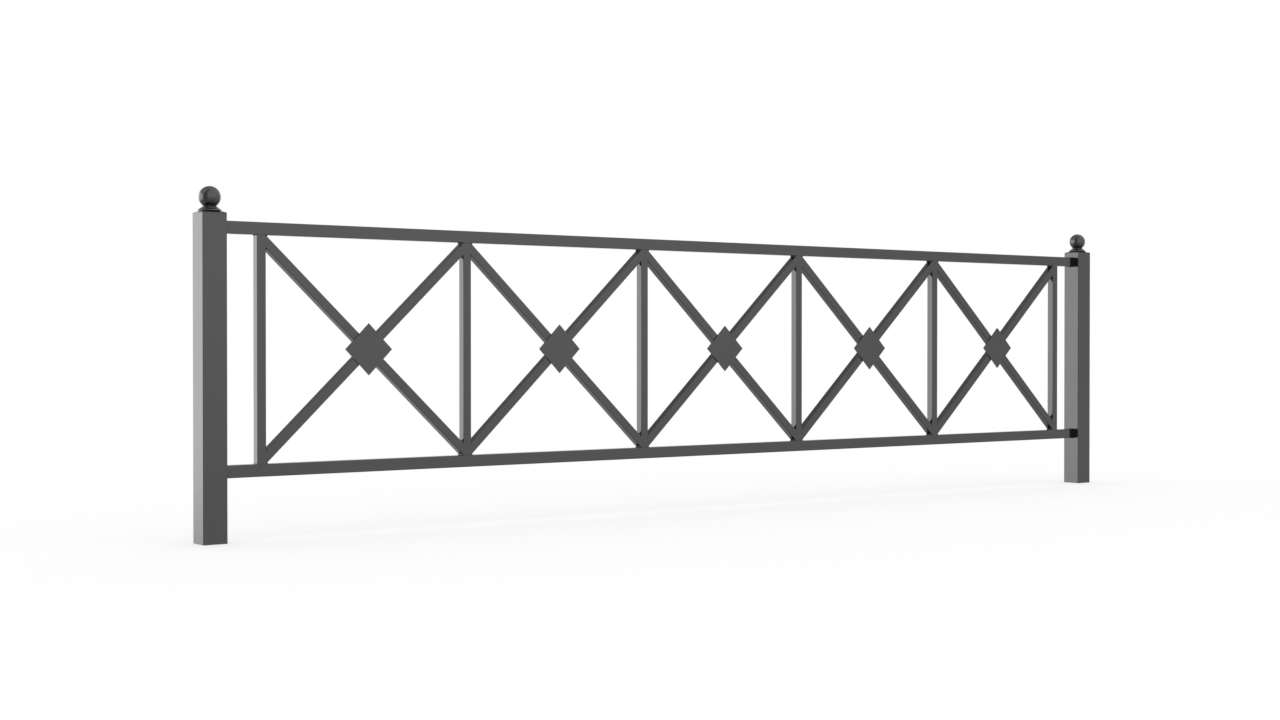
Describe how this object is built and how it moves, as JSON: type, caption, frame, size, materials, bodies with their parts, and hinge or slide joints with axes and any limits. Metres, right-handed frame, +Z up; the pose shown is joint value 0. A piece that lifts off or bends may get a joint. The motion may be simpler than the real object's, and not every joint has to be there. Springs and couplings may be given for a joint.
{
  "type": "lawn border fence section",
  "caption": "Low welded steel border fence section: square posts with ball finials, joined by rails, uprights and crossed braces with diamond plates.",
  "frame": {"origin": "middle of the left post's foot, at ground level", "axes": "+X along the fence to the right post, +Z up; the diamond plates face -Y"},
  "size_m": [2.08, 0.04, 0.5528],
  "materials": {
    "post_coat": "semi-gloss dark grey powder coat",
    "finial_coat": "semi-gloss dark grey powder coat",
    "panel_coat": "semi-gloss dark grey powder coat"
  },
  "bodies": {
    "root": {"post_left": "post_coat", "post_right": "post_coat", "post_cap_left": "post_coat", "post_cap_right": "post_coat", "finial_collar_left": "finial_coat", "finial_collar_right": "finial_coat", "finial_ball_left": "finial_coat", "finial_ball_right": "finial_coat", "bottom_rail": "panel_coat", "top_rail": "panel_coat", "upright_1": "panel_coat", "upright_2": "panel_coat", "upright_3": "panel_coat", "upright_4": "panel_coat", "upright_5": "panel_coat", "upright_6": "panel_coat", "brace_rising_1": "panel_coat", "brace_rising_2": "panel_coat", "brace_rising_3": "panel_coat", "brace_rising_4": "panel_coat", "brace_rising_5": "panel_coat", "brace_upper_half_1": "panel_coat", "brace_upper_half_2": "panel_coat", "brace_upper_half_3": "panel_coat", "brace_upper_half_4": "panel_coat", "brace_upper_half_5": "panel_coat", "brace_lower_half_1": "panel_coat", "brace_lower_half_2": "panel_coat", "brace_lower_half_3": "panel_coat", "brace_lower_half_4": "panel_coat", "brace_lower_half_5": "panel_coat", "diamond_plate_1": "panel_coat", "diamond_plate_2": "panel_coat", "diamond_plate_3": "panel_coat", "diamond_plate_4": "panel_coat", "diamond_plate_5": "panel_coat"}
  },
  "joints": []
}
